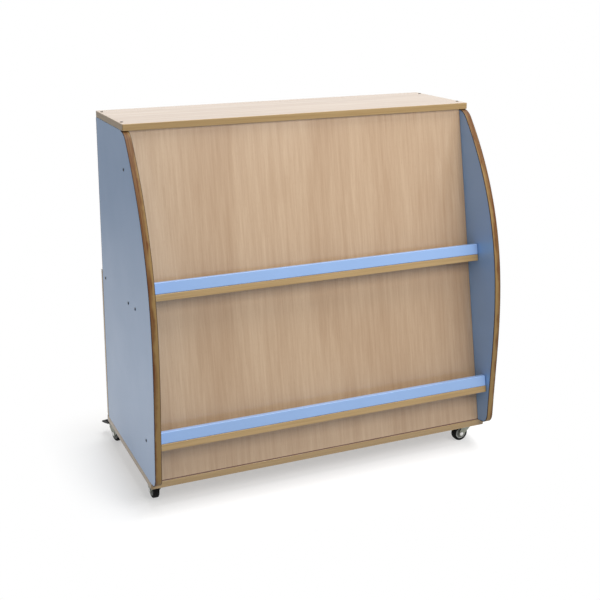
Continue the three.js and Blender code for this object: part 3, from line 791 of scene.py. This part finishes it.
class BOARDS_OT_build(DisplayOperator, bpy.types.Operator):
    """Finishes the level boards, the leaning panel and the lips"""

    bl_idname = "book_display.boards"
    bl_label = "Boards"

    def execute(self, context):
        level = board_material("beech_level", "X", "Y", "Z")
        for node in LEVEL_BOARDS:
            self.finish(node, level, "beech_laminate")
        # The panel's foot, along which its painted shadow line runs.
        foot = low("display_panel").z
        leaning = board_material("beech_panel", "Z", "X", "Y", (panel_lean(), 0, 0), foot)
        self.finish("display_panel", leaning, "beech_laminate")
        blue = blue_material("blue_lips", self.finishes.blue, self.finishes.lip_coat)
        for node in LIPS:
            self.finish(node, blue, "blue_laminate")
        return {"FINISHED"}

    def finish(self, node, material, slot):
        finished_copy(node, f"{node}_finish", self.fittings.soft_edge, material, "carcass")


class SIDES_OT_build(DisplayOperator, bpy.types.Operator):
    """Makes the sides and their edge bands with softened edges and smooth bellies"""

    bl_idname = "book_display.sides"
    bl_label = "Sides"

    def execute(self, context):
        looks = self.finishes
        blue = blue_material("blue_sides", looks.side_blue, looks.side_coat)
        foot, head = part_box("right_side")
        edge = side_edge_material(mirror_plane(), foot, head, self.fittings.edge_line)
        for side in SIDES:
            self.finish(f"{side}_side", f"{side}_side_panel", blue, "blue_laminate")
            for band in ("front", "rear"):
                self.finish(f"{side}_side_{band}_band", f"{side}_{band}_edge", edge, "beech_edging")
        return {"FINISHED"}

    def finish(self, node, name, material, slot):
        piece = merged_copy(node, name)
        self.round_bends(piece)
        finish_copy(piece, node, self.fittings.soft_edge, material, "carcass")

    def round_bends(self, piece):
        """Turns each slight bend of the outline into a short arc."""
        start_edit(piece)
        bpy.ops.mesh.dissolve_degenerate(threshold=SHORT_EDGE)
        pick(piece, "EDGE", self.is_bend)
        bpy.ops.mesh.bevel(offset_type="PERCENT", offset_pct=BEND_SHARE, segments=3, affect="EDGES")
        end_edit()

    def is_bend(self, edge):
        """Whether an edge runs across the outline, at a slight bend."""
        along = edge.verts[1].co - edge.verts[0].co
        slight = BEND_LEAST < edge.calc_face_angle() < BEND_MOST
        return slight and abs(along.x) > 0.9 * along.length


class DOORS_OT_build(DisplayOperator, bpy.types.Operator):
    """Finishes the two rear doors and turns their knobs"""

    bl_idname = "book_display.doors"
    bl_label = "Doors"

    def execute(self, context):
        beech = board_material("beech_door", "Z", "X", "Y")
        plastic = plastic_material("blue_plastic", self.finishes.blue, 0.35, 0.5, 900, 0.04 * MM)
        width = self.fittings.soft_edge
        for side in SIDES:
            door = f"{side}_door"
            finished_copy(door, f"{door}_leaf", width, beech, door)
            self.make_knob(door, plastic)
        return {"FINISHED"}

    def make_knob(self, door, plastic):
        """Turns a knob with a narrow neck and a domed face."""
        node = f"{door}_knob"
        reach = half_size(node).y * 2
        wide = half_size(node).x
        neck = wide * 0.45
        profile = [
            (0, 0),
            (neck * 1.3, 0),
            (neck * 1.12, reach * 0.06),
            (neck, reach * 0.16),
            (neck, reach * 0.30),
            (neck * 1.25, reach * 0.42),
            (wide * 0.86, reach * 0.50),
            (wide * 0.97, reach * 0.58),
            (wide, reach * 0.68),
            (wide * 0.97, reach * 0.82),
            (wide * 0.84, reach * 0.94),
            (wide * 0.5, reach * 0.99),
            (0, reach),
        ]
        knob = spun(f"{door}_turned_knob", profile, self.fittings.round_steps)
        shade(knob, SMOOTH_TURNED)
        centre = middle(node)
        settle(knob, upright((0, 1, 0), (centre.x, low(node).y, centre.z)))
        hand_over(knob, plastic, door, node)


class FITTINGS_OT_build(DisplayOperator, bpy.types.Operator):
    """Finishes the door pivots, catches and strikes"""

    bl_idname = "book_display.fittings"
    bl_label = "Door fittings"

    def execute(self, context):
        steel = metal_material("bright_steel", self.finishes.steel, 90, 0.22, 0.38)
        plastic = plastic_material("grey_plastic", self.finishes.hub, 0.45, 0.6, 1200, 0.04 * MM)
        for side in SIDES:
            door = f"{side}_door"
            for pivot in (f"{door}_lower_pivot", f"{door}_upper_pivot"):
                self.finish(pivot, f"{pivot}_steel", steel, "carcass", "bright_steel")
            self.finish(f"{door}_strike", f"{door}_strike_plate", steel, door, "bright_steel")
            self.finish(f"{door}_catch", f"{door}_magnet_catch", plastic, "carcass", "grey_plastic")
        return {"FINISHED"}

    def finish(self, node, name, material, body, slot):
        finished_copy(node, name, self.fittings.pressed_edge, material, body)


class CASTERS_OT_build(DisplayOperator, bpy.types.Operator):
    """Makes the pressed plates, forks and pins of the casters"""

    bl_idname = "book_display.casters"
    bl_label = "Caster steel"

    def execute(self, context):
        zinc = metal_material("zinc_steel", self.finishes.zinc, 60, 0.30, 0.46)
        steel = bpy.data.materials["bright_steel"]
        for corner in CORNERS:
            self.finish(corner, "caster_plate", "top_plate", "carcass", zinc, "zinc_steel")
            self.finish(corner, "axle", "rivet", f"{corner}_swivel", steel, "bright_steel")
            self.make_fork(corner, zinc)
        width = self.fittings.pin_edge
        for corner in BRAKED:
            pin = f"{corner}_brake_pin"
            rivet = f"{corner}_brake_rivet"
            finished_copy(pin, rivet, width, steel, f"{corner}_swivel")
        return {"FINISHED"}

    def finish(self, corner, part, made, body, material, slot):
        width = self.fittings.pressed_edge
        finished_copy(f"{corner}_{part}", f"{corner}_{made}", width, material, body)

    def make_fork(self, corner, zinc):
        fork = merged_copy(f"{corner}_fork", f"{corner}_pressed_fork")
        shade(fork)
        hand_over(fork, zinc, f"{corner}_swivel", f"{corner}_fork")


class WHEELS_OT_build(DisplayOperator, bpy.types.Operator):
    """Spins the tyres and hubs of the casters"""

    bl_idname = "book_display.wheels"
    bl_label = "Wheels"

    def execute(self, context):
        tone = self.finishes.rubber
        rubber = plastic_material("black_rubber", tone, 0.62, 0.82, 1500, 0.06 * MM, 0.15)
        plastic = bpy.data.materials["grey_plastic"]
        tyre = self.make_tyre()
        hub = self.make_hub()
        for corner in CORNERS:
            for model, part, material, slot in (
                (tyre, "tyre", rubber, "black_rubber"),
                (hub, "hub", plastic, "grey_plastic"),
            ):
                piece = copied(model, f"{corner}_spun_{part}")
                settle(piece, wheel_place(corner))
                hand_over(piece, material, f"{corner}_wheel", f"{corner}_{part}")
        discard(tyre)
        discard(hub)
        return {"FINISHED"}

    def make_tyre(self):
        """A ring with a groove round each flank and a rounded tread."""
        hub_gap = 0.3 * MM
        groove = 0.3 * MM
        half, _, radius = half_size("front_left_tyre")
        bore = half_size("front_left_hub").z + hub_gap
        wall = radius - bore
        flank = [
            (bore, half),
            (bore + wall * 0.30, half),
            (bore + wall * 0.36, half - groove),
            (bore + wall * 0.46, half - groove),
            (bore + wall * 0.52, half),
            (bore + wall * 0.68, half - 0.2 * MM),
            (radius - 0.9 * MM, half - 1.0 * MM),
            (radius - 0.35 * MM, half - 1.9 * MM),
            (radius, half - 3.2 * MM),
        ]
        tyre = self.make_ring("tyre_model", flank)
        shade(tyre, SMOOTH_TURNED)
        return tyre

    def make_ring(self, name, face):
        """Spins a ring from one of its two like faces, drawn outwards from its bore."""
        lower = [(r, -z) for r, z in face]
        return spun(name, lower + face[::-1] + lower[:1], self.fittings.round_steps)

    def make_hub(self):
        """A dished hub with a boss, a rim and spokes."""
        rim_setback = 0.9 * MM
        dish = 2.2 * MM
        edge = 0.15 * MM
        half, _, radius = half_size("front_left_hub")
        bore = half_size("front_left_axle").z * 0.62
        rim = half - rim_setback
        web = rim - dish
        face = [
            (bore, half),
            (radius * 0.40, half),
            (radius * 0.44, half - 0.4 * MM),
            (radius * 0.46, web),
            (radius * 0.83, web),
            (radius * 0.86, rim - 0.3 * MM),
            (radius * 0.90, rim),
            (radius, rim),
        ]
        hub = self.make_ring("hub_model", face)
        self.sink_pockets(hub, radius, web)
        soften(hub, edge, 1)
        return hub

    def sink_pockets(self, hub, radius, web):
        """Sinks pockets into each side of the web, which leaves as many spokes."""
        pockets = 6
        spoke = 0.3  # share of a pocket's turn that is left standing
        depth = 1.6 * MM
        inner = radius * 0.47
        outer = radius * 0.82
        start_edit(hub)

        def in_pocket(face):
            centre = face.calc_center_median()
            reach = math.hypot(centre.x, centre.y)
            turn = math.atan2(centre.y, centre.x) / (2 * math.pi) * pockets % 1
            on_web = abs(abs(centre.z) - web) < WELD and inner < reach < outer
            return on_web and spoke / 2 < turn < 1 - spoke / 2

        for way in (1, -1):
            pick(hub, "FACE", lambda face: in_pocket(face) and face.normal.z * way > 0.9)
            extrude((0, 0, -way * depth))
        end_edit()


class BRAKES_OT_build(DisplayOperator, bpy.types.Operator):
    """Makes the brake pedals with their grip bars"""

    bl_idname = "book_display.brakes"
    bl_label = "Brake pedals"

    def execute(self, context):
        tone = self.finishes.black
        black = plastic_material("black_plastic", tone, 0.40, 0.58, 1300, 0.05 * MM, 0.25)
        bars = self.make_bars()
        width = self.fittings.moulded_edge
        for corner in BRAKED:
            node = f"{corner}_brake_pedal"
            body = f"{corner}_brake"
            pedal = finished_copy(node, f"{corner}_foot_pedal", width, black, body)
            grip = copied(bars, f"{corner}_grip_bars")
            settle(grip, self.pad_place(pedal, corner))
            dress(grip, black)
            attach(grip, body)
        discard(bars)
        return {"FINISHED"}

    def make_bars(self):
        """Bars across a foot pad, in a row along Y about its middle, each standing up along Z."""
        fit = self.fittings
        rise = fit.grip_rise
        more = fit.grip_bars - 1
        bpy.ops.mesh.primitive_cube_add(size=1, location=(0, 0, 0))
        bars = bpy.context.active_object
        bars.name = "grip_model"
        start_edit(bars)
        bpy.ops.transform.resize(value=(fit.grip_length, fit.grip_width, rise))
        bpy.ops.transform.translate(value=(0, -fit.grip_pitch * more / 2, rise / 2 + SEAT))
        for _ in range(more):
            bpy.ops.mesh.duplicate_move(TRANSFORM_OT_translate={"value": (0, fit.grip_pitch, 0)})
        end_edit()
        soften(bars, rise * 0.4)
        return bars

    def pad_place(self, pedal, corner):
        """Middle of a pedal's foot pad, X along the brake pin and Z out of the pad."""
        level = [face for face in pedal.data.polygons if face.normal.z > 0.7]
        pad = max(level, key=lambda face: face.area)
        across = Vector(JOINTS[f"{corner}_brake_press"]["axis"])
        out = pad.normal.copy()
        turn = Matrix((across, out.cross(across), out)).transposed().to_4x4()
        return Matrix.Translation(pad.center) @ turn


class FIXINGS_OT_build(DisplayOperator, bpy.types.Operator):
    """Sets the pan-headed screws of the caster plates, pivot plates and catches"""

    bl_idname = "book_display.fixings"
    bl_label = "Fixing screws"

    def execute(self, context):
        model = self.make_head()
        dress(model, bpy.data.materials["bright_steel"])
        self.set_screws(model, "fixing_screw")
        return {"FINISHED"}

    def make_head(self):
        """A domed head with a cross cut into it."""
        wide = self.fittings.pan_head
        rise = self.fittings.pan_rise
        profile = [
            (0, SEAT),
            (wide * 0.97, SEAT),
            (wide, rise * 0.2),
            (wide * 0.94, rise * 0.52),
            (wide * 0.76, rise * 0.80),
            (wide * 0.45, rise * 0.96),
            (0, rise),
        ]
        head = spun("pan_model", profile, self.fittings.round_steps // 2)
        for turn in (0, math.pi / 2):
            self.cut_slot(head, wide, rise, turn)
        start_edit(head)
        bpy.ops.mesh.quads_convert_to_tris(ngon_method="BEAUTY")
        bpy.ops.mesh.dissolve_degenerate(threshold=SLIVER)
        end_edit()
        shade(head, SMOOTH_TURNED)
        return head

    def cut_slot(self, head, wide, rise, turn):
        """Cuts a slot across a head, to half the cutter's height."""
        cutter_size = (wide * 1.15, wide * 0.27, rise * 1.1)
        bpy.ops.mesh.primitive_cube_add(
            size=1, location=(0, 0, rise), rotation=(0, 0, turn), scale=cutter_size
        )
        cutter = bpy.context.active_object
        make_active(head)
        cut = head.modifiers.new("cut", "BOOLEAN")
        cut.operation = "DIFFERENCE"
        cut.object = cutter
        bpy.ops.object.modifier_apply(modifier=cut.name)
        discard(cutter)

    def places(self):
        """Direction and place of each screw's head."""
        fit = self.fittings
        reach = fit.plate_pitch / 2
        half_leg = fit.pivot_leg / 2
        for corner in CORNERS:
            plate = f"{corner}_caster_plate"
            centre = middle(plate)
            under = high(plate).z - fit.plate_sheet
            for x in (-reach, reach):
                for y in (-reach, reach):
                    yield (0, 0, -1), (centre.x + x, centre.y + y, under)
        for side in SIDES:
            pivot = f"{side}_door_upper_pivot"
            across = high(pivot).x - half_leg if side == "left" else low(pivot).x + half_leg
            for inset in (fit.pivot_screw_near, fit.pivot_screw_far):
                yield (0, 0, 1), (across, low(pivot).y + inset, high(pivot).z)
            catch = f"{side}_door_catch"
            for x in (low(catch).x + fit.ear, high(catch).x - fit.ear):
                yield (0, 0, -1), (x, middle(catch).y, high(catch).z - fit.ear_sheet)


class SCREWS_OT_build(DisplayOperator, bpy.types.Operator):
    """Sets the connecting screws in the top and the sides"""

    bl_idname = "book_display.screws"
    bl_label = "Screws"

    def execute(self, context):
        steel = metal_material("screw_steel", self.finishes.screw, 300, 0.35, 0.5)
        # The dark socket material is painted shade in each screw's recess.
        dark = plastic_material("screw_socket", self.finishes.socket, 0.5, 0.7, 900, 0.02 * MM)
        model = self.make_head()
        self.sink_socket(model, steel, dark)
        self.set_screws(model, "connecting_screw")
        return {"FINISHED"}

    def make_head(self):
        """A flat round head, open at the top, and the ring of its six-sided socket."""
        fit = self.fittings
        steps = 24
        bpy.ops.mesh.primitive_circle_add(vertices=steps, radius=fit.screw_head, location=(0, 0, 0))
        head = bpy.context.active_object
        head.name = "screw_model"
        start_edit(head)
        bpy.ops.transform.translate(value=(0, 0, fit.screw_stand))
        extrude((0, 0, SEAT - fit.screw_stand))
        bpy.ops.mesh.edge_face_add()
        bpy.ops.mesh.select_all(action="DESELECT")
        bpy.ops.mesh.primitive_circle_add(
            vertices=6, radius=fit.screw_socket, location=(0, 0, fit.screw_stand)
        )
        end_edit()
        return head

    def sink_socket(self, head, steel, dark):
        """Closes the top of the head round the socket, sinks the socket, and gives the socket's faces the
        dark material, a painted shade in the recess.
        """
        fit = self.fittings
        for material in (steel, dark):
            head.data.materials.append(material)
        start_edit(head)
        rim = fit.screw_stand * 0.9
        pick(head, "EDGE", lambda edge: all(v.co.z > rim for v in edge.verts))
        bpy.ops.mesh.bridge_edge_loops()
        hole = fit.screw_socket * 1.1
        pick(head, "EDGE", lambda edge: all(v.co.xy.length < hole for v in edge.verts))
        extrude((0, 0, -fit.screw_stand * 0.8))
        bpy.ops.mesh.edge_face_add()
        bpy.ops.mesh.select_all(action="SELECT")
        bpy.ops.mesh.normals_make_consistent(inside=False)
        # The socket's faces get the dark material, painted shade in the recess.
        pick(head, "FACE", lambda face: face.calc_center_median().xy.length < fit.screw_socket)
        head.active_material_index = 1
        bpy.ops.object.material_slot_assign()
        end_edit()
        soften(head, fit.screw_stand * 0.2, 1, math.radians(60))

    def places(self):
        """Direction and place of each screw's head."""
        fit = self.fittings
        rear = high("top_board").y
        side_rear = high("left_side_rear_band").y
        foot = low("base_board").z
        shelf = middle("rear_shelf").z
        for side in SIDES:
            across = middle(f"{side}_side").x
            for inset in (fit.top_screw_rear, fit.top_screw_front):
                yield (0, 0, 1), (across, rear - inset, high("top_board").z)
            outward = -1 if side == "left" else 1
            face = low("left_side").x if side == "left" else high("right_side").x
            for inset in (fit.shelf_screw_rear, fit.shelf_screw_front):
                yield (outward, 0, 0), (face, side_rear - inset, shelf)
            for rise in (fit.panel_screw_foot, fit.panel_screw_middle, fit.panel_screw_head):
                yield (outward, 0, 0), (face, panel_core(foot + rise), foot + rise)


class DISPLAY_PT_sidebar(bpy.types.Panel):
    """Lists the building steps"""

    bl_label = "Book Display"
    bl_space_type = "VIEW_3D"
    bl_region_type = "UI"
    bl_category = "Book Display"

    def draw(self, context):
        for step in STEPS:
            self.layout.operator(step.bl_idname)


STEPS = (
    STAGE_OT_build,
    BOARDS_OT_build,
    SIDES_OT_build,
    DOORS_OT_build,
    FITTINGS_OT_build,
    CASTERS_OT_build,
    WHEELS_OT_build,
    BRAKES_OT_build,
    FIXINGS_OT_build,
    SCREWS_OT_build,
)
SETTINGS = (DisplayFinishes, DisplayFittings, DisplayStage)


def register():
    for kind in (*SETTINGS, *STEPS, DISPLAY_PT_sidebar):
        bpy.utils.register_class(kind)
    bpy.types.Scene.display_finishes = PointerProperty(type=DisplayFinishes)
    bpy.types.Scene.display_fittings = PointerProperty(type=DisplayFittings)
    bpy.types.Scene.display_stage = PointerProperty(type=DisplayStage)


def unregister():
    del bpy.types.Scene.display_stage
    del bpy.types.Scene.display_fittings
    del bpy.types.Scene.display_finishes
    for kind in (DISPLAY_PT_sidebar, *reversed(STEPS), *reversed(SETTINGS)):
        bpy.utils.unregister_class(kind)


def main():
    register()
    bpy.ops.book_display.stage()
    bpy.ops.book_display.boards()
    bpy.ops.book_display.sides()
    bpy.ops.book_display.doors()
    bpy.ops.book_display.fittings()
    bpy.ops.book_display.casters()
    bpy.ops.book_display.wheels()
    bpy.ops.book_display.brakes()
    bpy.ops.book_display.fixings()
    bpy.ops.book_display.screws()


if __name__ == "__main__":
    main()
